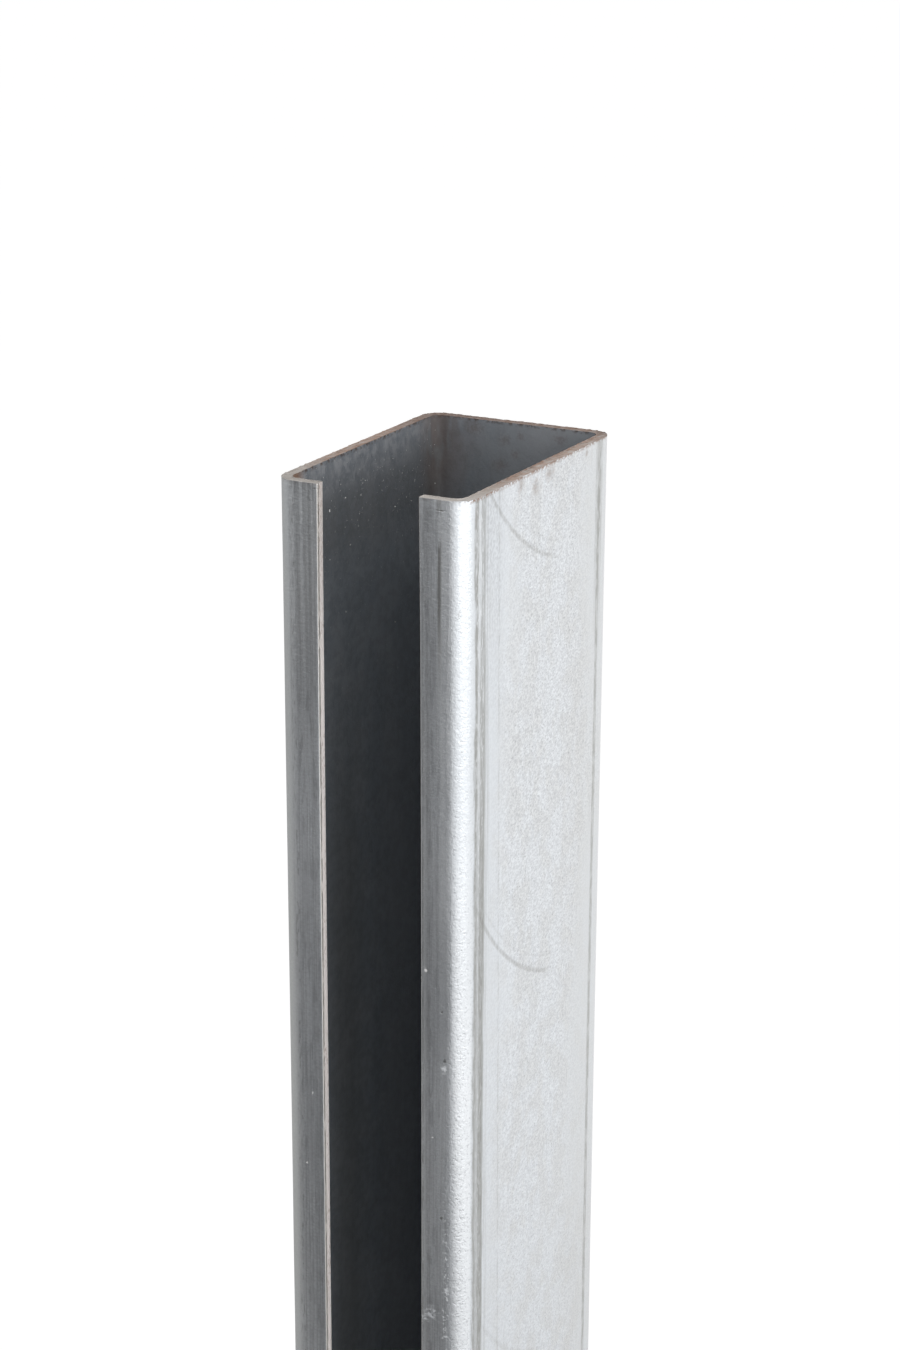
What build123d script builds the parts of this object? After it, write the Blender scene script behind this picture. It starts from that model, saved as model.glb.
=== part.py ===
from build123d import *
import os

# A lipped steel channel that stiffens a hollow fence post: one strip of galvanised
# sheet, roll-formed into a C with the slot along the narrow front and sawn to length.
# It stands on its sawn end. X runs across the front, Y from front to back, Z upwards,
# and the origin is the middle of the foot.

# Driving dimensions of the rolled section, in millimetres
WIDTH = 38.0  # across the narrow front, outside
DEPTH = 60.0  # from the slotted front to the back, outside
WALL = 2.0  # thickness of the strip
LIP = 9.0  # each lip, from the outside of its side wall to its slit edge
INNER_BEND = 2.0  # inside radius of all four bends

# Length of the stock and the edges that cutting leaves, in millimetres
LENGTH = 1000.0  # between the two sawn ends
SLIT_ROLLOVER = 0.5  # rounding of each lip's outer edge, where the slitter pressed in
SLIT_BREAK = 0.3  # rounding of each lip's inner edge, worn off its burr
SAWN_BREAK = 0.2  # chamfer that deburring leaves round both sawn ends

# Where the section's lines lie
SIDE = WIDTH / 2
BACK = DEPTH / 2
FRONT = -BACK
SLIT_EDGE = SIDE - LIP


def folded_line(inset, bend):
    """One face of the folded strip, from slit edge to slit edge round the back."""
    side = SIDE - inset
    front = FRONT + inset
    back = BACK - inset
    corners = [
        (-SLIT_EDGE, front),
        (-side, front),
        (-side, back),
        (side, back),
        (side, front),
        (SLIT_EDGE, front),
    ]
    return FilletPolyline(*corners, radius=bend)


def section():
    """The strip's cross-section: its outer and inner face, closed at both slit edges."""
    outside = folded_line(0, INNER_BEND + WALL)
    inside = folded_line(WALL, INNER_BEND)
    left_slit = Line(outside @ 0, inside @ 0)
    right_slit = Line(outside @ 1, inside @ 1)
    return make_face([outside, inside, left_slit, right_slit])


def lip_edges(profile, depth):
    """The two long edges of the lips that lie at this depth."""
    upright = profile.edges().filter_by(Axis.Z)
    return [
        edge
        for edge in upright
        if abs(abs(edge.center().X) - SLIT_EDGE) < WALL / 2
        and abs(edge.center().Y - depth) < WALL / 2
    ]


def sawn_edges(profile):
    """Every edge round the two sawn ends."""
    return profile.faces().filter_by(Axis.Z).edges()


def c_profile():
    """The rolled channel, with its slit edges and sawn ends as cutting leaves them."""
    profile = extrude(section(), LENGTH)
    profile = fillet(lip_edges(profile, FRONT), SLIT_ROLLOVER)
    profile = fillet(lip_edges(profile, FRONT + WALL), SLIT_BREAK)
    return chamfer(sawn_edges(profile), SAWN_BREAK)


os.makedirs("parts", exist_ok=True)
profile = c_profile()
export_step(profile, "parts/c_profile.step")
print("volume", round(profile.volume), "box", profile.bounding_box().size)
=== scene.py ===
import math
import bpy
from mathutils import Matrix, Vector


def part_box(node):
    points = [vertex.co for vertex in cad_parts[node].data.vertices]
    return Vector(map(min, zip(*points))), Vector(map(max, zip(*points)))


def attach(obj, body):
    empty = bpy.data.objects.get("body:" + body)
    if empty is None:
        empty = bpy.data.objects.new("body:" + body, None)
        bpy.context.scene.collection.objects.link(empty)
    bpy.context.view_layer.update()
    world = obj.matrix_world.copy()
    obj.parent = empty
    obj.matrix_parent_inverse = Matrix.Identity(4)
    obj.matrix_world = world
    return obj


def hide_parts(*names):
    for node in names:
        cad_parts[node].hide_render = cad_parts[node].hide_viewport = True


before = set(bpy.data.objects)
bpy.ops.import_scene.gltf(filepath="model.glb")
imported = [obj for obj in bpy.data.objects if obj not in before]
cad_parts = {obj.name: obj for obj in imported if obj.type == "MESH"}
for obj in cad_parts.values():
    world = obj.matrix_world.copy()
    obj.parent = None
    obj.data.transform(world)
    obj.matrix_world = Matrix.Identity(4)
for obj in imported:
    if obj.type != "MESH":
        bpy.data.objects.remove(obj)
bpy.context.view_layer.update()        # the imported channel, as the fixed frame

from types import SimpleNamespace

import bmesh
import bpy
from bpy.props import FloatProperty, FloatVectorProperty, IntProperty, PointerProperty
from mathutils import Matrix, Vector, noise

bl_info = {
    "name": "Galvanised post channel",
    "version": (1, 0, 0),
    "blender": (4, 5, 0),
    "location": "View3D > Sidebar > Channel",
    "description": "Shapes and finishes a cold-rolled, galvanised C channel that stiffens a fence post",
    "category": "Object",
}

MM = 0.001
NODE = "c_profile"
LOW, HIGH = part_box(NODE)
SPAN = HIGH - LOW
SAME = 0.001 * MM        # points this close are one
CLOSE = 0.01 * MM        # a point this close to a plane lies on it
SMOOTH_BELOW = math.radians(38)

# The channel's finishes, in the order of its material slots
SKIN, INSIDE, SLIT, SAWN = range(4)

# How much strip runs past in one turn of the side roll, and how far above the top the first turn begins
ARC_PITCH = 81.3 * MM
ARC_LEAD = 6.0 * MM

# The arcs of one turn, in millimetres: how far the centre lies behind the middle of the side and above
# the turn's zero, the radius and the width, and then the strength
ARCS = (
    (21.1, 34.7, 55.0, 0.40, 1.0),
    (19.0, 34.7, 51.4, 0.25, 0.3),
)

# Marks on the strip's faces in millimetres: place across, depth below the top, half width, half height
SIDE_STAINS = (
    (2.2, 1.9, 1.5, 1.1),
    (-3.6, 3.0, 1.1, 1.3),
    (-9.5, 1.2, 1.2, 1.4),
    (17.8, 1.5, 0.5, 0.7),
)
LIP_PITS = (
    (14.3, 136.2, 0.42, 0.42),
    (15.0, 104.4, 0.40, 0.50),
    (14.3, 94.8, 0.30, 0.30),
    (13.7, 1.9, 1.05, 0.14),
    (-10.6, 0.9, 0.45, 0.22),
)
BEND_FLECKS = (
    (17.2, 20.0, 0.30, 0.90),
    (17.0, 39.8, 0.20, 0.22),
    (17.6, 45.0, 0.22, 0.40),
)
LIP_SPECKS = (
    (12.5, 120.1, 0.26, 0.26),
    (-14.0, 131.5, 0.24, 0.24),
    (-12.6, 116.9, 0.18, 0.30),
    (11.1, 87.1, 0.30, 0.40),
)
LIP_SCUFFS = (
    (12.1, 156.3, 1.4, 1.2),
    (11.1, 157.6, 0.8, 0.8),
    (14.7, 106.2, 0.5, 0.9),
)
BACK_STAINS = (
    (-2.2, 3.6, 1.2, 1.0),
    (1.2, 2.6, 0.8, 0.8),
    (-3.2, 8.6, 1.6, 1.2),
    (0.0, 6.3, 0.9, 0.8),
    (9.3, 2.3, 1.2, 0.9),
    (-8.5, 2.0, 1.6, 1.1),
)
WALL_DUST = (
    (-13.5, 9.5, 0.36, 0.3),
    (-7.7, 8.5, 0.28, 0.16),
    (-1.7, 9.3, 0.22, 0.14),
    (-1.3, 11.8, 0.2, 0.14),
    (11.5, 14.6, 0.25, 0.14),
    (-6.0, 17.7, 0.2, 0.12),
    (-13.5, 18.7, 0.25, 0.15),
    (-7.7, 30.0, 0.3, 0.2),
    (11.4, 37.2, 0.25, 0.15),
)


def linear(code):
    """An sRGB hex colour as linear red, green and blue."""
    parts = [int(code[at:at + 2], 16) / 255 for at in (1, 3, 5)]
    return [p / 12.92 if p <= 0.04045 else ((p + 0.055) / 1.055) ** 2.4 for p in parts]


def size_property(name, description, default):
    return FloatProperty(name=name, description=description, default=default, min=0.0, unit="LENGTH",
                         precision=5)


def colour_property(name, description, code):
    return FloatVectorProperty(name=name, description=description, default=linear(code), size=3,
                               min=0.0, max=1.0, subtype="COLOR")


class ChannelSizes(bpy.types.PropertyGroup):
    """The rolled strip, and what rolling, slitting and sawing leave on it"""

    width: size_property("Width", "Outside, across the slotted front", SPAN.x)
    depth: size_property("Depth", "Outside, from the slotted front to the back", SPAN.y)
    length: size_property("Length", "Between the sawn ends", SPAN.z)
    wall: size_property("Wall", "Thickness of the strip", 2.0 * MM)
    lip: size_property("Lip", "From the side's outside to the slit edge", 9.0 * MM)
    inner_bend: size_property("Inner bend", "Inside radius of the four bends", 2.0 * MM)
    rollover: size_property("Rollover", "Rounding of the slit edge where the blade pressed in", 0.20 * MM)
    slit_break: size_property("Slit break", "Rounding of the slit edge on the inside", 0.12 * MM)
    sawn_break: size_property("Sawn break", "Chamfer round the sawn ends", 0.18 * MM)
    burr: size_property("Burr", "How far the saw's burr stands out", 0.24 * MM)
    burr_pitch: size_property("Burr pitch", "From tooth to tooth of the burr", 0.9 * MM)
    spread: size_property("Spread", "How far each lip stands open away from the ends", 0.21 * MM)
    spring: size_property("Spring", "How much less it stands open at a sawn end", 0.31 * MM)
    spring_reach: size_property("Spring reach", "How far from a sawn end the strip springs", 35.0 * MM)
    lean: size_property("Lean", "How far both lips lean to the left", 0.08 * MM)
    end_lean: size_property("End lean", "How much more the lips lean at a sawn end", 0.12 * MM)
    flare: size_property("Flare", "How far the right side stands out at the back", 0.30 * MM)
    tuck: size_property("Tuck", "How far the left side stands in at the front", 0.10 * MM)
    skew: size_property("Skew", "How far the upper saw cut falls towards the back", 0.20 * MM)
    wander: size_property("Wander", "How far the rolled walls stray from flat", 0.06 * MM)
    wander_pitch: size_property("Wander pitch", "From wave to wave of the walls", 60.0 * MM)
    facet: size_property("Facet", "Width of the faces on the flats", 2.0 * MM)
    rows: IntProperty(name="Rows", description="Rows of faces up the channel", default=150, min=20)
    bend_steps: IntProperty(name="Bend steps", description="Faces round each bend", default=10, min=3)


class ChannelColours(bpy.types.PropertyGroup):
    """The colours of the metal and of what has marked it"""

    zinc: colour_property("Zinc", "Clean galvanised skin", "#DFE3E7")
    zinc_dull: colour_property("Dull zinc", "Skin that has begun to weather", "#D3D1CC")
    # Also laid on inside, where it is paler than the walls, as painted light.
    zinc_dark: colour_property("Dark grains", "Hollows of the skin's grain", "#A6A8AC")
    zinc_rubbed: colour_property("Rubbed zinc", "Where the forming rolls ran", "#8D8C87")
    # Also laid on as painted highlights: on the right front bend, beside the slit edges, where the right lip
    # runs into its bend, where the left lip turns, and over the side toward the top.
    zinc_bright: colour_property("Bright zinc", "Ridges that are freshly rubbed", "#F1F4F7")
    # Partly a dried oil film and partly painted shade: the inside walls are a darker copy of the zinc.
    oiled_and_shaded: colour_property("Oiled inside", "Inside walls, under dried rolling oil", "#868C93")
    bare: colour_property("Bare steel", "Sawn and slit faces", "#99918B")
    bare_bright: colour_property("Bright steel", "Burnished part of the cuts", "#F8F1EE")
    rust: colour_property("Rust", "First rust on the cut faces", "#8C6E5B")
    rust_dark: colour_property("Dark rust", "Rust pits and stains", "#543F34")
    # Also laid on as painted shade: over the left lip toward the top, and inside below the sawn ends, towards
    # the slot and in the back-left fold.
    dirt: colour_property("Dirt", "Lines of dirt that the rolls left", "#4F4D48")
    dust: colour_property("Dust", "Grains of saw dust and scale", "#F2F1EE")


class StudioLook(bpy.types.PropertyGroup):
    """The photograph's camera and a plain soft studio"""

    lens: FloatProperty(name="Lens", description="Focal length in millimetres, on a 36 mm long side",
                        default=76.14, min=1.0)
    place: FloatVectorProperty(name="Camera", description="Where the camera stands", subtype="TRANSLATION",
                               default=(227.6 * MM, -446.6 * MM, 1121.9 * MM), unit="LENGTH", precision=4)
    pitch: FloatProperty(name="Pitch", description="How far the camera looks down",
                         default=math.radians(18.10), subtype="ANGLE")
    yaw: FloatProperty(name="Yaw", description="How far the camera has turned towards the left side",
                       default=math.radians(26.95), subtype="ANGLE")
    roll: FloatProperty(name="Roll", description="How far the camera leans",
                        default=math.radians(0.16), subtype="ANGLE")
    floor_radius: size_property("Floor radius", "Radius of the floor", 45.0)
    floor: colour_property("Floor", "The pale floor", "#F2F2F2")
    card: colour_property("Card", "The dark card that the front faces", "#3B3C3F")
    card_left: colour_property("Card's left", "The card's paler left part", "#ADABA6")
    card_top: size_property("Card top", "Height of the dark card's top edge", 0.98)
    card_reach: size_property("Card reach", "From the channel to the card", 0.55)


def outward(place, sizes):
    """The way out of the strip's outer face at a point of the section, and the depth below that face."""
    bend = sizes.inner_bend + sizes.wall
    past = Vector((abs(place.x) - sizes.width / 2 + bend, abs(place.y) - sizes.depth / 2 + bend))
    sign = Vector((math.copysign(1, place.x), math.copysign(1, place.y), 0))
    if past.x > 0 and past.y > 0:
        way = Vector((past.x * sign.x, past.y * sign.y, 0)).normalized()
        return way, bend - past.length
    if past.x > past.y:
        return Vector((sign.x, 0, 0)), bend - past.x
    return Vector((0, sign.y, 0)), bend - past.y


def folded_sheet(sizes):
    """The strip's outer face: a few points of its line drawn up, folded round, and cut into small faces."""
    mesh = bmesh.new()
    side = sizes.width / 2
    slit = side - sizes.lip
    front, back = LOW.y, HIGH.y
    corners = [(-slit, front), (-side, front), (-side, back), (side, back), (side, front), (slit, front)]
    line = [mesh.verts.new((x, y, 0)) for x, y in corners]
    edges = [mesh.edges.new(pair) for pair in zip(line, line[1:])]
    drawn = bmesh.ops.extrude_edge_only(mesh, edges=edges)["geom"]
    upper = [part for part in drawn if isinstance(part, bmesh.types.BMVert)]
    bmesh.ops.translate(mesh, verts=upper, vec=(0, 0, sizes.length))
    folds = [edge for edge in mesh.edges if len(edge.link_faces) == 2]
    bmesh.ops.bevel(mesh, geom=folds, offset=sizes.inner_bend + sizes.wall, offset_type="OFFSET",
                    segments=sizes.bend_steps, profile=0.5, affect="EDGES", material=-1, clamp_overlap=False)
    flats = {}
    for edge in mesh.edges:
        count = round(edge.calc_length() / sizes.facet)
        if is_level(edge) and count > 1:
            flats.setdefault(count, []).append(edge)
    for count, group in flats.items():
        bmesh.ops.subdivide_edges(mesh, edges=group, cuts=count - 1)
    upright = [edge for edge in mesh.edges if not is_level(edge)]
    bmesh.ops.subdivide_edges(mesh, edges=upright, cuts=sizes.rows - 1)
    for vert in mesh.verts:
        vert.co.z = crowded(vert.co.z / sizes.length) * sizes.length
    first = mesh.faces[:1][0]
    if first.normal.dot(outward(first.calc_center_median(), sizes)[0]) < 0:
        bmesh.ops.reverse_faces(mesh, faces=mesh.faces[:])
    return mesh


def is_level(edge):
    return abs(edge.verts[0].co.z - edge.verts[1].co.z) < SAME


def crowded(share, squeeze=0.95):
    """A share of the length, moved so that rows lie close together at both ends."""
    return share - squeeze * math.sin(2 * math.pi * share) / (2 * math.pi)


def round_slit_edges(mesh, sizes):
    """Rounds the lips' long edges: rolled over outside, barely broken inside."""
    slit = sizes.width / 2 - sizes.lip
    for depth, rounding, steps in ((0, sizes.rollover, 3), (sizes.wall, sizes.slit_break, 2)):
        edges = [
            edge for edge in mesh.edges
            if not is_level(edge) and all(
                abs(abs(vert.co.x) - slit) < CLOSE and abs(vert.co.y - LOW.y - depth) < CLOSE
                for vert in edge.verts
            )
        ]
        bmesh.ops.bevel(mesh, geom=edges, offset=rounding, offset_type="OFFSET", segments=steps, profile=0.5,
                        affect="EDGES", material=-1, clamp_overlap=False)


def break_sawn_ends(mesh, sizes):
    """Chamfers both sawn ends, and cuts the faces beside them fine enough to carry the burr."""
    facing_up, burr_reach, burr_cuts, same_depth = 0.9, 1.5 * MM, 3, 0.02 * MM
    shortest = 0.3 * sizes.facet
    for height, inwards in ((0, 1), (sizes.length, -1)):
        ring = [
            face for face in mesh.faces
            if abs(face.normal.z) > facing_up and abs(face.calc_center_median().z - height) < CLOSE
        ]
        outline = {vert for face in ring for vert in face.verts}
        bmesh.ops.inset_region(mesh, faces=ring, thickness=sizes.sawn_break, use_even_offset=True,
                               use_boundary=True)
        bmesh.ops.translate(mesh, verts=list(outline), vec=(0, 0, inwards * sizes.sawn_break))
    along = []
    for edge in mesh.edges:
        first, second = (vert.co for vert in edge.verts)
        if is_level(edge) and end_distance(first, sizes) < burr_reach and edge.calc_length() > shortest:
            if abs(outward(first, sizes)[1] - outward(second, sizes)[1]) < same_depth:
                along.append(edge)
    bmesh.ops.subdivide_edges(mesh, edges=along, cuts=burr_cuts)


def end_distance(place, sizes):
    return min(place.z, sizes.length - place.z)


def sort_faces(mesh, sizes):
    """Gives each face the number of its finish: skin, inside, slit or sawn."""
    facing = 0.5
    slit = sizes.width / 2 - sizes.lip + 0.6 * sizes.rollover
    for face in mesh.faces:
        middle = face.calc_center_median()
        in_lip = abs(middle.x) < slit and middle.y < LOW.y + sizes.wall
        if abs(face.normal.z) > facing:
            face.material_index = SAWN
        elif in_lip and abs(face.normal.x) > facing:
            face.material_index = SLIT
        elif outward(middle, sizes)[1] > sizes.wall / 2:
            face.material_index = INSIDE
        else:
            face.material_index = SKIN


def roughen(mesh, sizes):
    """Moves the points as rolling and sawing did: waves in the walls, lips that spring, a torn burr."""
    bend = sizes.inner_bend + sizes.wall
    ripple, ripples = 0.4, 4             # finer waves: their height beside a wave's, and how many to one
    end_flare = 0.4                      # how much more the side stands out at a sawn end
    squash = 0.1                         # keeps both rims of the chamfer in one tooth
    fray, frays, fray_z = 0.6, 2.7, 0.1  # finer teeth: their height, how many to one, and their own slice
    inner_burr, upright_burr = 0.5, 0.25
    burred = 1.01 * sizes.sawn_break
    for vert in mesh.verts:
        place = vert.co.copy()
        way, depth = outward(place, sizes)
        from_end = end_distance(place, sizes)
        near_end = math.exp(-from_end / sizes.spring_reach)
        backward = (place.y - LOW.y) / sizes.depth
        wave = noise.noise(place / sizes.wander_pitch)
        wave += ripple * noise.noise(place * ripples / sizes.wander_pitch)
        vert.co += way * wave * sizes.wander
        rightward = 2 * place.x / sizes.width
        vert.co.x += sizes.flare * (1 + end_flare * near_end) * backward * max(rightward, 0)
        vert.co.x += sizes.tuck * (1 - backward) * max(-rightward, 0) ** 3
        if place.y < LOW.y + bend:
            reach = (sizes.width / 2 - abs(place.x)) / sizes.lip
            give = (sizes.spread - sizes.spring * near_end) * math.copysign(1, place.x)
            give -= sizes.lean + sizes.end_lean * near_end
            vert.co.x += give * max(reach, 0) ** 2
        if from_end < burred:
            tooth = noise.noise(Vector((place.x, place.y, place.z * squash)) / sizes.burr_pitch)
            tooth += fray * noise.noise(Vector((place.x, place.y, fray_z)) * frays / sizes.burr_pitch)
            edge = 1 if depth < CLOSE else -inner_burr if depth > sizes.wall - CLOSE else 0
            vert.co += way * edge * max(tooth, 0) * sizes.burr
            vert.co.z += upright_burr * tooth * sizes.burr
            if place.z > sizes.length / 2:
                vert.co.z -= sizes.skew * backward ** 2


def make_channel(sizes):
    """The whole rolled, slit and sawn channel as one closed mesh."""
    mesh = folded_sheet(sizes)
    bmesh.ops.solidify(mesh, geom=mesh.faces[:], thickness=sizes.wall)
    bmesh.ops.remove_doubles(mesh, verts=mesh.verts[:], dist=SAME)
    bmesh.ops.recalc_face_normals(mesh, faces=mesh.faces[:])
    round_slit_edges(mesh, sizes)
    break_sawn_ends(mesh, sizes)
    mesh.normal_update()
    sort_faces(mesh, sizes)
    roughen(mesh, sizes)
    mesh.normal_update()
    for face in mesh.faces:
        face.smooth = True
    for edge in mesh.edges:
        edge.smooth = edge.calc_face_angle(0) < SMOOTH_BELOW
    return mesh


def add(tree, kind, links=None, out=0, **settings):
    """Adds one node of that kind, given without its ShaderNode prefix, with its settings. Joins or sets
    its inputs, and returns one of its outputs."""
    made = tree.nodes.new("ShaderNode" + kind)
    for name, value in settings.items():
        setattr(made, name, value)
    for name, value in (links or {}).items():
        if isinstance(value, bpy.types.NodeSocket):
            tree.links.new(value, made.inputs[name])
        else:
            made.inputs[name].default_value = value
    return made.outputs[out] if len(made.outputs) else made


def grains(tree, where, width, low, high, stretch=1.0, detail=2.0):
    """A mask of grains: width is in millimetres, stretch how much longer they are up the strip, low and
    high where the noise starts to show and where it shows in full."""
    size = width * MM
    scaled = add(tree, "Mapping", {"Vector": where, "Scale": (1 / size, 1 / size, 1 / (size * stretch))})
    cloud = add(tree, "TexNoise", {"Vector": scaled, "Scale": 1.0, "Detail": detail})
    return add(tree, "MapRange", {"Value": cloud, "From Min": low, "From Max": high},
               interpolation_type="SMOOTHSTEP")


def between(tree, along, low, high, soft):
    """A mask that is full from low to high and fades out over soft on both sides, all in millimetres."""
    low, high, soft = low * MM, high * MM, soft * MM
    rise = add(tree, "MapRange", {"Value": along, "From Min": low - soft, "From Max": low})
    fall = add(tree, "MapRange", {"Value": along, "From Min": high + soft, "From Max": high})
    return both(tree, rise, fall)


def fading(tree, mask, *ways):
    """The mask, fading in along each way: what it runs along, where it begins and is full in millimetres,
    and how much shows before it begins, if any."""
    for along, begin, full, *least in ways:
        ramp = add(tree, "MapRange", {"Value": along, "From Min": begin * MM, "From Max": full * MM,
                                      "To Min": least[0] if least else 0.0})
        mask = both(tree, mask, ramp)
    return mask


def spots(tree, along, down, marks, ragged, soft=0.4):
    """A mask of separate marks, each with its place, depth, half width and half height in millimetres.
    The ragged mask eats into their rims."""
    rim, bite, far = 1.1, 0.7, 9.0
    plan = add(tree, "CombineXYZ", {0: along, 1: down})
    nearest = far
    for mark in marks:
        place, depth, half_width, half_height = (size * MM for size in mark)
        local = add(tree, "Mapping", {"Vector": plan, "Location": (place, depth, 0),
                                      "Scale": (half_width, half_height, 1)}, vector_type="TEXTURE")
        reach = add(tree, "VectorMath", {0: local}, out="Value", operation="LENGTH")
        nearest = add(tree, "Math", {0: reach, 1: nearest}, operation="MINIMUM")
    torn = add(tree, "Math", {0: ragged, 1: bite, 2: nearest}, operation="MULTIPLY_ADD")
    return add(tree, "MapRange", {"Value": torn, "From Min": rim + soft, "From Max": rim - soft},
               interpolation_type="SMOOTHSTEP")


def both(tree, *masks):
    """Where all the masks are, each a socket or a plain strength."""
    result = masks[0]
    for mask in masks[1:]:
        result = add(tree, "Math", {0: result, 1: mask}, operation="MULTIPLY")
    return result


def summed(tree, start, parts):
    """start, with each part's mask times its amount added."""
    result = start
    for mask, amount in parts:
        result = add(tree, "Math", {0: mask, 1: amount, 2: result}, operation="MULTIPLY_ADD")
    return result


def layered(tree, ground, layers):
    """The ground colour, with each layer's colour laid over it as strongly as its mask and strength say."""
    below, above, mixed = 6, 7, 2        # the Mix node's sockets for colours
    colour = (*ground, 1.0)
    for mask, strength, over in layers:
        share = both(tree, mask, strength)
        colour = add(tree, "Mix", {0: share, below: colour, above: (*over, 1.0)}, out=mixed, data_type="RGBA")
    return colour


def places(tree, sizes):
    """Where a point is: its vector, its x and y, and how far it is from the middle, below the top and
    from the nearer sawn end."""
    where = add(tree, "TexCoord", out="Object")
    x, y, z = add(tree, "SeparateXYZ", {0: where}).node.outputs
    down = add(tree, "Math", {0: sizes.length, 1: z}, operation="SUBTRACT")
    return SimpleNamespace(
        where=where,
        x=x,
        y=y,
        across=add(tree, "Math", {0: x}, operation="ABSOLUTE"),
        down=down,
        from_end=add(tree, "Math", {0: z, 1: down}, operation="MINIMUM"),
    )


def finish_metal(tree, colour, metallic, roughness, relief):
    """Joins one metal finish to the material's output."""
    normal = add(tree, "Bump", {"Height": relief, "Distance": 1.0})
    shaded = add(tree, "BsdfPrincipled",
                 {"Base Color": colour, "Metallic": metallic, "Roughness": roughness, "Normal": normal})
    add(tree, "OutputMaterial", {"Surface": shaded})


def new_material(name):
    material = bpy.data.materials.new(name)
    material.use_nodes = True
    material.node_tree.nodes.clear()
    return material


def flange_arcs(tree, at):
    """The arcs that a side roll's flange rubbed, one set for each turn of the roll."""
    turn = add(tree, "Math", {0: at.down, 1: ARC_PITCH - ARC_LEAD, 2: -ARC_LEAD}, operation="WRAP")
    mask = 0.0
    for behind, above, radius, width, strength in ARCS:
        height = add(tree, "Math", {0: turn, 1: above * MM}, operation="ADD")
        plan = add(tree, "CombineXYZ", {0: at.y, 1: height})
        reach = add(tree, "VectorMath", {0: plan, 1: (behind * MM, 0, 0)}, out="Value", operation="DISTANCE")
        line = between(tree, reach, radius - width / 2, radius + width / 2, width)
        mask = summed(tree, mask, [(line, strength)])
    worn_off = add(tree, "MapRange", {"Value": at.down, "From Min": 110 * MM, "From Max": 160 * MM,
                                      "To Min": 1.0, "To Max": 0.4})
    return both(tree, mask, between(tree, at.y, -22, 1, 7), worn_off)


def skin_grain(tree, where):
    """The skin's patterns: grain and pits of the zinc, clouds in it, and streaks that the rolls drew out."""
    broken = grains(tree, where, 0.6, 0.40, 0.56, stretch=5.0, detail=3.0)
    return SimpleNamespace(
        fine=grains(tree, where, 0.55, 0.38, 0.62, stretch=0.7, detail=3.0),
        coarse=grains(tree, where, 1.2, 0.42, 0.62, stretch=0.7, detail=3.0),
        pits=grains(tree, where, 0.6, 0.63, 0.70, stretch=0.65, detail=1.0),
        cloud=grains(tree, where, 4.5, 0.42, 0.60, stretch=1.3, detail=4.0),
        broad=grains(tree, where, 34, 0.40, 0.62, stretch=1.5),
        streak=grains(tree, where, 0.40, 0.36, 0.64, stretch=60.0),
        drawn=grains(tree, where, 1.0, 0.46, 0.60, stretch=26.0, detail=3.0),
        dabbed=grains(tree, where, 0.8, 0.50, 0.64, stretch=5.0, detail=3.0),
        broken=broken,
        soft_broken=add(tree, "MapRange", {"Value": broken, "To Min": 0.45}),
    )


def skin_zones(tree, at, grain):
    """Which face a point is on, how far the rolls worked it there, how much the grain and the side's painted
    highlight strengthen toward the top, and where the front bend is pitted and polished, with the right one
    painted lighter as a highlight."""
    front = add(tree, "MapRange", {"Value": at.y, "From Min": -26.5 * MM, "From Max": -28.5 * MM})
    uneven = add(tree, "Math", {0: grain.broad, 1: 7 * MM, 2: at.y}, operation="MULTIPLY_ADD")
    bend_grain = grains(tree, at.where, 0.40, 0.54, 0.66, stretch=1.2)
    return SimpleNamespace(
        front=front,
        lip=fading(tree, front, (at.across, 16.2, 15.0)),
        side=add(tree, "MapRange", {"Value": at.across, "From Min": 18.5 * MM, "From Max": 18.9 * MM}),
        away=add(tree, "MapRange", {"Value": at.from_end, "From Min": 15 * MM, "From Max": 120 * MM,
                                    "To Min": 0.7}),
        # Stronger toward the top: it deepens the grain there, and brightens the side's painted highlight.
        upper=add(tree, "MapRange", {"Value": at.down, "From Min": 50 * MM, "From Max": 160 * MM,
                                     "To Min": 1.25, "To Max": 0.8}),
        rearward=add(tree, "MapRange", {"Value": at.y, "From Min": 8 * MM, "From Max": 18 * MM}),
        worked=between(tree, uneven, -4, 17, 13),
        bend_pits=fading(tree, both(tree, bend_grain, between(tree, at.y, -29.9, -26.6, 0.3)),
                         (at.x, 14.6, 15.6), (at.from_end, 10, 110, 0.4)),
        # Polish and painted highlight: the right front bend is lighter in colour and lower in roughness.
        bend_polish_and_highlight=fading(tree, between(tree, at.y, -29.5, -27.4, 0.6),
                           (at.x, 15.2, 16), (at.from_end, 50, 110)),
    )


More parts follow.
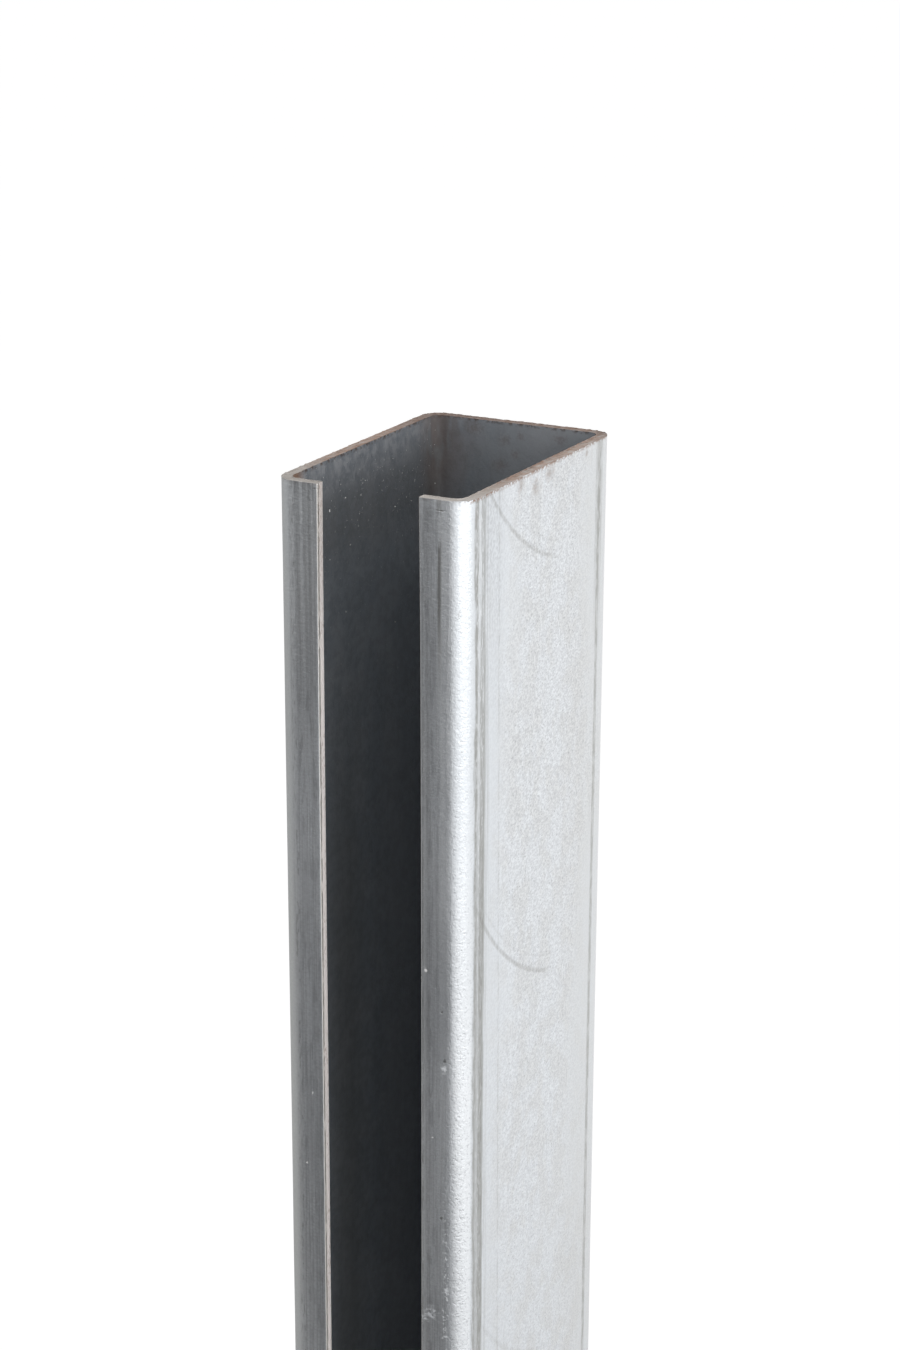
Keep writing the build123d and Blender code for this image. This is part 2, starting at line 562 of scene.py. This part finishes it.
def rub_lines(tree, at, grain, zone):
    """What the rolls' edges rubbed beside the bends: lines, a band with bright flecks, haze, and arcs."""
    stray = grains(tree, at.where, 1.2, 0.30, 0.70, stretch=7.0, detail=4.0)
    strayed = add(tree, "Math", {0: stray, 1: 0.5 * MM, 2: at.y}, operation="MULTIPLY_ADD")
    drift_per_length = -0.012
    drift = add(tree, "Math", {0: at.down, 1: drift_per_length, 2: at.y}, operation="MULTIPLY_ADD")
    fresh = add(tree, "MapRange", {"Value": at.from_end, "From Min": 95 * MM, "From Max": 35 * MM,
                                   "To Min": 0.2})
    fresh_front = add(tree, "MapRange", {"Value": fresh, "To Min": 0.55})
    fresh_flecks = add(tree, "MapRange", {"Value": fresh, "To Min": 0.35})
    flecks = grains(tree, at.where, 0.42, 0.54, 0.64, stretch=3.5, detail=3.0)
    haze = grains(tree, at.where, 0.5, 0.40, 0.60, stretch=1.6, detail=3.0)
    return SimpleNamespace(
        front=both(tree, between(tree, strayed, -26.35, -25.65, 0.35), grain.soft_broken, fresh_front),
        bright=both(tree, between(tree, strayed, -25.25, -24.55, 0.25), grain.broken, fresh),
        second=both(tree, between(tree, strayed, -24.15, -22.95, 0.45), grain.soft_broken, zone.away),
        band=fading(tree, between(tree, strayed, -25.95, -22.55, 0.4), (at.from_end, 15, 75, 0.35)),
        flecks=both(tree, between(tree, strayed, -26.0, -23.4, 0.4), flecks, fresh_flecks),
        edge=both(tree, between(tree, at.y, -22.8, -21.6, 1.0), grain.streak),
        haze=fading(tree, both(tree, between(tree, at.y, -22.4, -17.5, 2.5), haze),
                    (at.from_end, 50, 12, 0.2)),
        faint=both(tree, between(tree, drift, -17.95, -17.7, 0.3), grain.broken),
        back=both(tree, between(tree, at.y, 23.3, 24.1, 0.35), grain.soft_broken),
        back_end=fading(tree, both(tree, between(tree, at.y, 22.4, 24.9, 0.4), grain.soft_broken),
                        (at.from_end, 45, 15)),
        arcs=both(tree, flange_arcs(tree, at), zone.side, grain.soft_broken),
    )


def lip_wear(tree, at, grain, zone):
    """Bands along the lips: a bright line beside the slit edges, partly burnished and partly a painted
    highlight; painted highlights where the right lip runs into its bend and where the left lip turns; painted
    shade over the left lip toward the top; a dark seam, pale and shaded bands, and what was wiped off near
    the upper end."""
    wiped = add(tree, "Math", {0: between(tree, at.x, -13.55, -13.15, 0.2),
                               1: between(tree, at.x, -11.3, -11.15, 0.15)}, operation="MAXIMUM")
    return SimpleNamespace(
        # A bright line beside both slit edges: partly burnished, partly a painted highlight of the
        # rolled-over edge, stronger lower down.
        burnish_and_highlight=fading(tree, both(tree, between(tree, at.across, 10.0, 10.35, 0.1), zone.front),
                     (at.down, 15, 55, 0.1)),
        seam=both(tree, between(tree, at.x, 10.45, 10.60, 0.12), zone.front, grain.broken, zone.away),
        pale=fading(tree, both(tree, between(tree, at.x, 10.7, 11.0, 0.3), zone.front, grain.soft_broken),
                    (at.down, 20, 60)),
        shaded=both(tree, between(tree, at.across, 10.95, 11.85, 0.4), zone.front, grain.soft_broken),
        # Painted highlight: a lighter band where the left lip turns into its bend.
        turned=both(tree, between(tree, at.x, -15.6, -14.9, 0.3), zone.front, grain.soft_broken),
        # Painted shade: the left lip darker toward the top.
        left_lip_shade=fading(tree, zone.lip, (at.x, 0, -5), (at.down, 62, 24)),
        wiped=fading(tree, both(tree, wiped, zone.front, grain.soft_broken), (at.down, 50, 8, 0.3)),
        # Painted highlight: the right lip lighter where it runs into its bend, more so toward the top.
        highlight_ramp=fading(tree, both(tree, between(tree, at.x, 14.1, 15.6, 0.8), zone.front),
                    (at.down, 150, 60)),
    )


def lip_marks(tree, at, grain, zone):
    """Single marks on the lips and front bends: smears, stains, spots, flecks, pits, specks and scuffs."""
    smear = grains(tree, at.where, 0.42, 0.53, 0.62, stretch=1.2, detail=4.0)
    stain = grains(tree, at.where, 0.55, 0.32, 0.50, stretch=14.0, detail=3.0)
    dots = grains(tree, at.where, 0.45, 0.57, 0.66, stretch=5.0, detail=3.0)
    scuff = grains(tree, at.where, 0.7, 0.34, 0.60, detail=3.0)
    return SimpleNamespace(
        smeared=fading(tree, both(tree, between(tree, at.x, 14.8, 15.5, 0.5), zone.front, smear),
                       (at.down, 118, 150)),
        stained=fading(tree, both(tree, between(tree, at.x, 13.5, 13.85, 0.35), zone.front, stain),
                       (at.down, 36, 20)),
        bend_spots=both(tree, between(tree, at.x, -15.5, -15.0, 0.5), zone.front, dots),
        bend_flecks=fading(tree, spots(tree, at.x, at.down, BEND_FLECKS, grain.fine, soft=0.8),
                           (at.y, -25, -26)),
        pits=both(tree, spots(tree, at.x, at.down, LIP_PITS, grain.fine), zone.front),
        specks=both(tree, spots(tree, at.x, at.down, LIP_SPECKS, grain.fine), zone.front),
        scuffs=both(tree, spots(tree, at.x, at.down, LIP_SCUFFS, grain.coarse, soft=0.8), zone.front, scuff),
    )


def cut_marks(tree, at, grain, zone):
    """What sawing left on the skin: stains beside the cut, its torn rim, and rust washed down from it."""
    jagged = grains(tree, at.where, 0.5, 0.40, 0.55)
    run_down = grains(tree, at.where, 1.6, 0.50, 0.70, stretch=3.0)
    return SimpleNamespace(
        stains=both(tree, spots(tree, at.y, at.down, SIDE_STAINS, grain.coarse, soft=0.8), zone.side),
        teeth=fading(tree, jagged, (at.from_end, 0.8, 0.1), (at.y, -29.2, -27.5, 0.15)),
        washed=fading(tree, both(tree, zone.side, run_down), (at.from_end, 7, 0.5)),
    )


def galvanised_skin(sizes, colours):
    """Continuously galvanised, temper-rolled sheet. It looks pale and finely mottled, with rub lines along
    the bends and arcs where the side rolls' flanges turned against it. Its colour also holds painted
    highlights on the right front bend, beside the slit edges, where the right lip runs into its bend, where
    the left lip turns and over the side toward the top, and painted shade over the left lip toward the top."""
    material = new_material("galvanised_skin")
    tree = material.node_tree
    at = places(tree, sizes)
    grain = skin_grain(tree, at.where)
    zone = skin_zones(tree, at, grain)
    rub = rub_lines(tree, at, grain, zone)
    lip = lip_wear(tree, at, grain, zone)
    mark = lip_marks(tree, at, grain, zone)
    cut = cut_marks(tree, at, grain, zone)
    colour = layered(tree, colours.zinc, [
        # Painted highlight: the worked part of the side lighter, more so toward the top.
        (both(tree, zone.worked, zone.side, zone.upper), 0.55, colours.zinc_bright),
        (both(tree, grain.cloud, zone.worked), 0.20, colours.zinc_dull),
        (both(tree, zone.rearward, zone.side), 0.25, colours.zinc_dull),
        (both(tree, grain.cloud, zone.side), 0.08, colours.zinc_dull),
        # Painted highlight: the right front bend lighter, away from the sawn ends, where its reflection of
        # the lamp is dim.
        (zone.bend_polish_and_highlight, 1.0, colours.zinc_bright),
        (both(tree, grain.coarse, zone.worked, zone.upper), 0.18, colours.zinc_dark),
        (both(tree, grain.fine, zone.worked, zone.upper), 0.22, colours.zinc_dark),
        (grain.fine, 0.07, colours.zinc_dark),
        (both(tree, grain.pits, zone.worked, zone.upper), 0.45, colours.zinc_dark),
        (zone.bend_pits, 0.32, colours.zinc_dark),
        (zone.lip, 0.45, colours.zinc_bright),
        (both(tree, grain.dabbed, zone.lip), 0.45, colours.zinc_dark),
        (both(tree, grain.drawn, zone.lip), 0.62, colours.zinc_bright),
        (both(tree, grain.streak, zone.lip), 0.50, colours.zinc_dark),
        (both(tree, grain.fine, zone.lip), 0.28, colours.zinc_dark),
        (lip.shaded, 0.17, colours.dirt),
        # Painted highlight leading into the right bend.
        (lip.highlight_ramp, 0.65, colours.zinc_bright),
        # Painted shade over the left lip toward the top.
        (lip.left_lip_shade, 0.28, colours.dirt),
        (lip.wiped, 0.45, colours.zinc_bright),
        # Painted highlight where the left lip turns.
        (lip.turned, 0.5, colours.zinc_bright),
        (rub.haze, 0.30, colours.zinc_dark),
        (rub.edge, 0.25, colours.zinc_rubbed),
        (rub.band, 0.50, colours.zinc_rubbed),
        (rub.front, 0.70, colours.zinc_rubbed),
        (rub.second, 0.60, colours.zinc_rubbed),
        (rub.bright, 0.35, colours.zinc_bright),
        (rub.flecks, 0.45, colours.zinc_bright),
        (rub.faint, 0.22, colours.zinc_rubbed),
        (rub.back, 0.55, colours.zinc_rubbed),
        (rub.back_end, 0.35, colours.zinc_rubbed),
        (rub.arcs, 0.38, colours.zinc_rubbed),
        # Burnish and painted highlight beside the slit edges.
        (lip.burnish_and_highlight, 0.8, colours.zinc_bright),
        (lip.pale, 0.5, colours.zinc_bright),
        (lip.seam, 0.35, colours.dirt),
        (mark.stained, 0.75, colours.dirt),
        (mark.bend_spots, 0.3, colours.dirt),
        (mark.bend_flecks, 0.3, colours.zinc_rubbed),
        (mark.smeared, 0.8, colours.zinc_bright),
        (mark.scuffs, 0.24, colours.zinc_bright),
        (mark.specks, 0.8, colours.dust),
        (mark.pits, 0.6, colours.dirt),
        (cut.washed, 0.1, colours.rust),
        (cut.stains, 0.42, colours.bare),
        (cut.stains, 0.18, colours.rust),
        (cut.teeth, 0.9, colours.rust),
    ])
    metallic = summed(tree, 0.88, [
        (cut.teeth, -0.6),
        (mark.stained, -0.3),
        (mark.scuffs, -0.35),
        (mark.smeared, -0.4),
        (mark.specks, -0.7),
        (cut.stains, -0.2),
    ])
    roughness = summed(tree, 0.34, [
        (grain.streak, 0.05),
        (grain.fine, 0.05),
        (grain.broad, 0.05),
        (cut.teeth, 0.3),
        (mark.scuffs, 0.2),
        (rub.second, 0.12),
        (lip.burnish_and_highlight, -0.08),
        (zone.bend_polish_and_highlight, -0.08),
    ])
    relief = summed(tree, 0.0, [
        (both(tree, grain.fine, zone.worked), 0.018 * MM),
        (both(tree, grain.pits, zone.worked), -0.02 * MM),
        (grain.fine, 0.008 * MM),
        (grain.coarse, 0.010 * MM),
        (both(tree, grain.streak, zone.front), -0.004 * MM),
        (both(tree, rub.bright, grain.broken), 0.03 * MM),
        (zone.bend_pits, -0.012 * MM),
        (rub.front, -0.02 * MM),
        (rub.arcs, -0.010 * MM),
        (lip.seam, -0.02 * MM),
        (mark.pits, -0.03 * MM),
        (cut.teeth, 0.05 * MM),
    ])
    finish_metal(tree, colour, metallic, roughness, relief)
    return material


def channel_inside(sizes, colours):
    """The same sheet inside the channel, under dried rolling oil and given a darker colour as painted shade.
    It looks dark and even, with dust near the sawn ends and rust run down from them in one corner. Painted
    shade darkens a band a little below the sawn ends, the left wall towards the slot deep inside and the
    inner back-left fold; painted light makes the left wall paler towards the back deep inside and near the
    ends, and the back wall paler near the ends."""
    material = new_material("galvanised_inside_shaded")
    tree = material.node_tree
    at = places(tree, sizes)
    fine = grains(tree, at.where, 0.55, 0.38, 0.62, detail=3.0)
    mottle = grains(tree, at.where, 1.6, 0.38, 0.64, detail=3.0)
    streak = grains(tree, at.where, 0.7, 0.35, 0.65, stretch=40.0)
    patch = grains(tree, at.where, 6, 0.42, 0.62, stretch=1.4, detail=3.0)
    left = add(tree, "MapRange", {"Value": at.x, "From Min": -16 * MM, "From Max": -16.8 * MM})
    back = add(tree, "MapRange", {"Value": at.y, "From Min": 27 * MM, "From Max": 27.8 * MM})
    deep = add(tree, "MapRange", {"Value": at.from_end, "From Min": 20 * MM, "From Max": 85 * MM})
    sparse = grains(tree, at.where, 0.42, 0.73, 0.77, detail=1.0)
    sparse = fading(tree, both(tree, left, sparse, 0.7), (at.from_end, 70, 6))
    grit = both(tree, spots(tree, at.y, at.down, WALL_DUST, fine), left)
    dust = add(tree, "Math", {0: sparse, 1: grit}, operation="MAXIMUM")
    corner = fading(tree, grains(tree, at.where, 2.4, 0.28, 0.52, stretch=4.0, detail=3.0),
                    (at.x, -6, -14), (at.y, 20, 26), (at.from_end, 30, 6))
    # Painted shade: the inner back-left fold is darker, and rougher.
    folded = fading(tree, 1.0, (at.x, -13, -15.5), (at.y, 22, 26))
    stains = both(tree, spots(tree, at.x, at.down, BACK_STAINS, fine, soft=0.9), back)
    # A mottled haze on the left wall near the sawn ends that also makes it paler there, as painted light
    # falling in from above.
    haze_and_light = fading(tree, both(tree, left, mottle), (at.from_end, 9, 1))
    # Painted shade: the left wall darker towards the slot, deep inside.
    front_deep_shade = both(tree, between(tree, at.y, -12, -7, 7), left, deep)
    # Painted light: the left wall paler towards the back, deep inside.
    back_deep_light = both(tree, between(tree, at.y, 10, 18, 6), left, deep)
    # Painted shade: a darker band a little below each sawn end, strongest on the left wall.
    below_rim_shade = fading(tree, between(tree, at.from_end, 8, 15, 9), (at.x, -14, -16.5, 0.4))
    # Painted light: the back wall paler towards the right, near the sawn ends, where light falls in from
    # above.
    paler = fading(tree, back, (at.x, -9, 4), (at.from_end, 24, 2))
    pocket = fading(tree, 1.0, (at.y, -22, -25), (at.x, -12, -14), (at.from_end, 3.2, 1.5))
    edge = fading(tree, grains(tree, at.where, 0.8, 0.45, 0.6), (at.from_end, 0.9, 0.2))
    # The inside starts from a darker copy of the zinc: partly oil film, partly painted shade.
    colour = layered(tree, colours.oiled_and_shaded, [
        (patch, 0.25, colours.zinc_dark),
        (mottle, 0.18, colours.dirt),
        (fine, 0.14, colours.zinc_dark),
        # Painted shade below the sawn ends.
        (below_rim_shade, 0.38, colours.dirt),
        # Haze near the sawn ends, and painted light there.
        (haze_and_light, 0.7, colours.zinc_dark),
        # Painted light on the back wall near the sawn ends.
        (paler, 0.55, colours.zinc_dark),
        # Painted shade in the back-left fold.
        (folded, 0.35, colours.dirt),
        # Painted shade towards the slot, deep inside.
        (front_deep_shade, 0.42, colours.dirt),
        # Painted light towards the back, deep inside.
        (back_deep_light, 0.45, colours.zinc_dark),
        (stains, 0.4, colours.rust_dark),
        (corner, 0.5, colours.rust_dark),
        (pocket, 0.9, colours.rust),
        (edge, 0.8, colours.rust_dark),
        (dust, 0.85, colours.dust),
    ])
    metallic = summed(tree, 0.55, [(corner, -0.3), (stains, -0.3), (dust, -0.5), (pocket, -0.4)])
    roughness = summed(tree, 0.42, [(streak, 0.06), (corner, 0.1), (folded, 0.2), (dust, 0.3),
                                    (mottle, 0.06)])
    relief = summed(tree, 0.0, [(mottle, 0.008 * MM), (fine, 0.008 * MM), (dust, 0.12 * MM),
                                (corner, 0.02 * MM)])
    finish_metal(tree, colour, metallic, roughness, relief)
    return material


def slit_edge(sizes, colours):
    """The strip's slit edge: sheared bare steel with a smeared skin of zinc. It looks pinkish white and
    streaky, with a dark seam beside its rolled-over side."""
    material = new_material("slit_edge")
    tree = material.node_tree
    at = places(tree, sizes)
    streak = grains(tree, at.where, 0.22, 0.40, 0.62, stretch=8.0, detail=3.0)
    fleck = grains(tree, at.where, 0.35, 0.54, 0.66, stretch=3.0, detail=3.0)
    blotch = grains(tree, at.where, 5.0, 0.40, 0.62, stretch=3.0)
    duller = add(tree, "MapRange", {"Value": at.from_end, "From Min": 60 * MM, "From Max": 140 * MM,
                                    "To Max": 0.25})
    first = add(tree, "MapRange", {"Value": at.from_end, "From Min": 34 * MM, "From Max": 4 * MM})
    seam = both(tree, between(tree, at.y, -29.66, -29.46, 0.10),
                grains(tree, at.where, 0.4, 0.34, 0.48, stretch=9.0))
    rolled = add(tree, "MapRange", {"Value": at.y, "From Min": -29.70 * MM, "From Max": -29.80 * MM})
    sheared = add(tree, "MapRange", {"Value": at.y, "From Min": -28.8 * MM, "From Max": -29.3 * MM})
    colour = layered(tree, colours.bare_bright, [
        (streak, 0.12, colours.bare),
        (sheared, 0.15, colours.bare),
        (duller, 0.4, colours.bare),
        (first, 0.5, colours.bare),
        (both(tree, fleck, blotch), 0.45, colours.rust),
        (both(tree, fleck, first), 0.6, colours.rust),
        (rolled, 0.8, colours.zinc_dull),
        (seam, 0.85, colours.dirt),
    ])
    metallic = summed(tree, 0.05, [(rolled, 0.6)])
    roughness = summed(tree, 0.55, [(streak, 0.1), (fleck, 0.1), (rolled, -0.1)])
    relief = summed(tree, 0.0, [(streak, 0.03 * MM), (fleck, -0.04 * MM), (seam, -0.06 * MM)])
    finish_metal(tree, colour, metallic, roughness, relief)
    return material


def sawn_end(sizes, colours):
    """The sawn face: bare steel, scored by the blade and rusted since. It looks brown and mottled, paler on
    the lips, with a bright burr along its inner edge."""
    material = new_material("sawn_end")
    tree = material.node_tree
    at = places(tree, sizes)
    scored = add(tree, "Mapping", {"Vector": at.where, "Rotation": (math.radians(90), math.radians(-20), 0)})
    score = grains(tree, scored, 0.20, 0.38, 0.62, stretch=14.0)
    blotch = grains(tree, scored, 0.55, 0.34, 0.52, stretch=4.0, detail=4.0)
    pit = grains(tree, scored, 0.35, 0.54, 0.66, stretch=3.0, detail=3.0)
    ragged = grains(tree, at.where, 1.4, 0.2, 0.8, detail=3.0)
    torn_x = add(tree, "Math", {0: ragged, 1: 0.5 * MM, 2: at.x}, operation="MULTIPLY_ADD")
    lip = add(tree, "MapRange", {"Value": at.y, "From Min": -12.0 * MM, "From Max": -27.0 * MM})
    kept = add(tree, "MapRange", {"Value": lip, "To Min": 1.0, "To Max": 0.10})
    behind = add(tree, "MapRange", {"Value": at.y, "From Min": 22.0 * MM, "From Max": 28.0 * MM})
    leftward = add(tree, "MapRange", {"Value": at.x, "From Min": 12 * MM, "From Max": -12 * MM})
    browner = fading(tree, leftward, (at.y, -22.0, 15.0))
    rear_left = fading(tree, leftward, (at.y, 9.0, 19.0))
    inner = both(tree, between(tree, torn_x, 16.8, 17.6, 0.3), kept)
    burnished = both(tree, between(tree, torn_x, 18.4, 19.2, 0.3), kept)
    outer = both(tree, between(tree, torn_x, -19.1, -18.0, 0.25), kept)
    torn = both(tree, between(tree, at.x, -17.40, -16.9, 0.15), kept, kept,
                grains(tree, at.where, 0.9, 0.44, 0.54, detail=3.0))
    colour = layered(tree, colours.bare, [
        (both(tree, blotch, kept), 0.9, colours.rust),
        (both(tree, pit, kept), 0.6, colours.rust_dark),
        (outer, 0.32, colours.bare),
        (inner, 0.3, colours.rust_dark),
        (burnished, 0.10, colours.bare_bright),
        (browner, 0.45, colours.rust),
        (behind, 0.42, colours.rust_dark),
        (rear_left, 0.58, colours.rust_dark),
        (lip, 0.40, colours.zinc_dull),
        (lip, 0.16, colours.dirt),
        (both(tree, lip, leftward), 0.22, colours.dirt),
        (score, 0.15, colours.bare_bright),
        (torn, 0.7, colours.rust_dark),
    ])
    metallic = summed(tree, 0.7, [(both(tree, blotch, kept), -0.5)])
    roughness = summed(tree, 0.45, [(blotch, 0.2), (score, 0.05)])
    relief = summed(tree, 0.0, [(score, 0.012 * MM), (pit, -0.03 * MM), (blotch, 0.02 * MM),
                                (torn, -0.08 * MM)])
    finish_metal(tree, colour, metallic, roughness, relief)
    return material


def put_object(name, mesh, materials):
    """Makes the bmesh an object at the origin, with those materials."""
    data = bpy.data.meshes.new(name)
    mesh.to_mesh(data)
    mesh.free()
    for material in materials:
        data.materials.append(material)
    made = bpy.data.objects.new(name, data)
    bpy.context.scene.collection.objects.link(made)
    return made


class CHANNEL_OT_roll(bpy.types.Operator):
    """Rolls, slits and saws the channel, and gives it its galvanised finish"""

    bl_idname = "channel.roll"
    bl_label = "Roll the channel"

    def execute(self, context):
        sizes = context.scene.channel_sizes
        colours = context.scene.channel_colours
        finishes = {SKIN: galvanised_skin, INSIDE: channel_inside, SLIT: slit_edge, SAWN: sawn_end}
        materials = [finishes[number](sizes, colours) for number in sorted(finishes)]
        channel = put_object("galvanised_channel", make_channel(sizes), materials)
        if not channel.data.polygons:
            raise RuntimeError("the channel came out with no faces")
        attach(channel, "root")
        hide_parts(NODE)
        return {"FINISHED"}


def put_lamp(name, place, target, width, height, radiance):
    """A soft box of that size, facing the target, that sends out the given light per area."""
    lamp = bpy.data.lights.new(name, "AREA")
    lamp.shape = "RECTANGLE"
    lamp.size = width
    lamp.size_y = height
    lamp.energy = radiance * math.pi * width * height
    box = bpy.data.objects.new(name, lamp)
    bpy.context.scene.collection.objects.link(box)
    box.location = place
    box.rotation_euler = (Vector(target) - Vector(place)).to_track_quat("-Z", "Y").to_euler()


def seen_rays(tree):
    """One for rays that show the background: straight to the camera, off metal or through glass."""
    rays = add(tree, "LightPath").node.outputs
    bounced = add(tree, "Math", {0: rays["Is Glossy Ray"], 1: rays["Is Transmission Ray"]},
                  operation="MAXIMUM")
    return add(tree, "Math", {0: rays["Is Camera Ray"], 1: bounced}, operation="MAXIMUM")


def put_floor(look):
    """A round floor that reads as white behind the object and still takes its shadow. In reflections it
    glows less beside the object than further off."""
    near, far = 1.2, 2.0
    near_glow, far_glow, glow_share = 0.88, 1.28, 0.65
    mesh = bmesh.new()
    bmesh.ops.create_circle(mesh, cap_ends=True, segments=64, radius=look.floor_radius)
    material = new_material("pale_floor")
    tree = material.node_tree
    matt = add(tree, "BsdfDiffuse", {"Color": (*look.floor, 1.0)})
    where = add(tree, "TexCoord", out="Object")
    from_middle = add(tree, "VectorMath", {0: where}, out="Value", operation="LENGTH")
    falloff = add(tree, "MapRange", {"Value": from_middle, "From Min": near, "From Max": far,
                                     "To Min": near_glow, "To Max": far_glow})
    to_camera = add(tree, "LightPath", out="Is Camera Ray")
    strength = add(tree, "Mix", {0: to_camera, 2: falloff, 3: far_glow}, data_type="FLOAT")
    glow = add(tree, "Emission", {"Color": (1, 1, 1, 1), "Strength": strength})
    share = both(tree, seen_rays(tree), glow_share)
    shaded = add(tree, "MixShader", {0: share, 1: matt, 2: glow})
    add(tree, "OutputMaterial", {"Surface": shaded})
    floor = put_object("floor", mesh, [material])


def put_card(look):
    """A curved dark card in front of the slot, that only reflections show. Below its waist the right end
    reaches further round, so the right bend's highlight narrows and dims downwards."""
    left_end, right_end = -150, 5.5                 # in degrees, from straight in front of the slot
    waist, widening, curving = 0.71, 137, 1000
    half = 0.5
    mesh = bmesh.new()
    bmesh.ops.create_grid(mesh, x_segments=36, y_segments=36, size=half)
    for vert in mesh.verts:
        share, height = vert.co.x + half, (vert.co.y + half) * look.card_top
        below = max(waist - height, 0)
        end = right_end + widening * below + curving * below ** 3
        turn = math.radians(left_end + share * (end - left_end))
        vert.co = (look.card_reach * math.sin(turn), -look.card_reach * math.cos(turn), height)
    material = new_material("dark_card")
    tree = material.node_tree
    where = add(tree, "TexCoord", out="Object")
    x, y, z = add(tree, "SeparateXYZ", {0: where}).node.outputs
    brighter_above = add(tree, "MapRange", {"Value": z, "From Min": 0.50, "From Max": 0.64,
                                            "To Min": 0.86, "To Max": 1.29})
    on_left = add(tree, "Math", {0: x, 1: 0.0}, operation="LESS_THAN")
    slanted = add(tree, "Math", {0: z, 1: -0.33, 2: y}, operation="MULTIPLY_ADD")
    leftward = add(tree, "MapRange", {"Value": slanted, "From Min": -0.62, "From Max": -0.49})
    lower = add(tree, "MapRange", {"Value": z, "From Min": 0.50, "From Max": 0.86,
                                   "To Min": 1.0, "To Max": 0.55})
    colour = layered(tree, look.card, [(both(tree, leftward, on_left), lower, look.card_left)])
    shaded = add(tree, "Emission", {"Color": colour, "Strength": brighter_above})
    add(tree, "OutputMaterial", {"Surface": shaded})
    card = put_object("dark_card", mesh, [material])
    card.visible_camera = False
    card.visible_diffuse = False
    card.visible_transmission = False
    card.visible_shadow = False


def put_world():
    """White all round where it is seen, and dimmer where it only lights."""
    seen, lighting = 1.0, 0.55
    world = bpy.data.worlds.new("studio")
    world.use_nodes = True
    tree = world.node_tree
    tree.nodes.clear()
    white = add(tree, "Background", {"Color": (1, 1, 1, 1), "Strength": seen})
    soft = add(tree, "Background", {"Color": (1, 1, 1, 1), "Strength": lighting})
    shaded = add(tree, "MixShader", {0: seen_rays(tree), 1: soft, 2: white})
    add(tree, "OutputWorld", {"Surface": shaded})
    bpy.context.scene.world = world


def put_camera(look):
    data = bpy.data.cameras.new("camera")
    data.sensor_width = 36.0
    data.lens = look.lens
    data.clip_start = 0.01
    data.clip_end = 100.0
    camera = bpy.data.objects.new("camera", data)
    bpy.context.scene.collection.objects.link(camera)
    turn = Matrix.Rotation(look.yaw, 4, "Z") @ Matrix.Rotation(math.radians(90) - look.pitch, 4, "X")
    camera.matrix_world = Matrix.Translation(look.place) @ turn @ Matrix.Rotation(look.roll, 4, "Z")
    bpy.context.scene.camera = camera


class CHANNEL_OT_studio(bpy.types.Operator):
    """Sets up the pale floor, the soft lamps, the dark card and the camera"""

    bl_idname = "channel.studio"
    bl_label = "Set up the studio"

    def execute(self, context):
        look = context.scene.channel_studio
        context.scene.view_settings.view_transform = "Standard"
        put_world()
        put_floor(look)
        put_card(look)
        put_lamp("key_box", place=(1.10, -0.55, 1.30), target=(0, 0, 0.9), width=1.5, height=1.1,
                 radiance=2.40)
        put_lamp("top_box", place=(0.3, 0.2, 2.4), target=(0, 0, 0.6), width=1.6, height=1.6, radiance=0.6)
        put_camera(look)
        return {"FINISHED"}


class CHANNEL_PT_panel(bpy.types.Panel):
    """Sizes, colours and steps of the channel"""

    bl_idname = "CHANNEL_PT_panel"
    bl_label = "Post channel"
    bl_space_type = "VIEW_3D"
    bl_region_type = "UI"
    bl_category = "Channel"

    def draw(self, context):
        scene = context.scene
        for group in (scene.channel_sizes, scene.channel_colours, scene.channel_studio):
            box = self.layout.box()
            for name in group.__annotations__:
                box.prop(group, name)
        self.layout.operator(CHANNEL_OT_roll.bl_idname)
        self.layout.operator(CHANNEL_OT_studio.bl_idname)


CLASSES = (ChannelSizes, ChannelColours, StudioLook, CHANNEL_OT_roll, CHANNEL_OT_studio, CHANNEL_PT_panel)


def register():
    for kind in CLASSES:
        bpy.utils.register_class(kind)
    bpy.types.Scene.channel_sizes = PointerProperty(type=ChannelSizes)
    bpy.types.Scene.channel_colours = PointerProperty(type=ChannelColours)
    bpy.types.Scene.channel_studio = PointerProperty(type=StudioLook)


def unregister():
    del bpy.types.Scene.channel_sizes
    del bpy.types.Scene.channel_colours
    del bpy.types.Scene.channel_studio
    for kind in reversed(CLASSES):
        bpy.utils.unregister_class(kind)


def main():
    register()
    bpy.ops.channel.roll()
    bpy.ops.channel.studio()


if __name__ == "__main__":
    main()
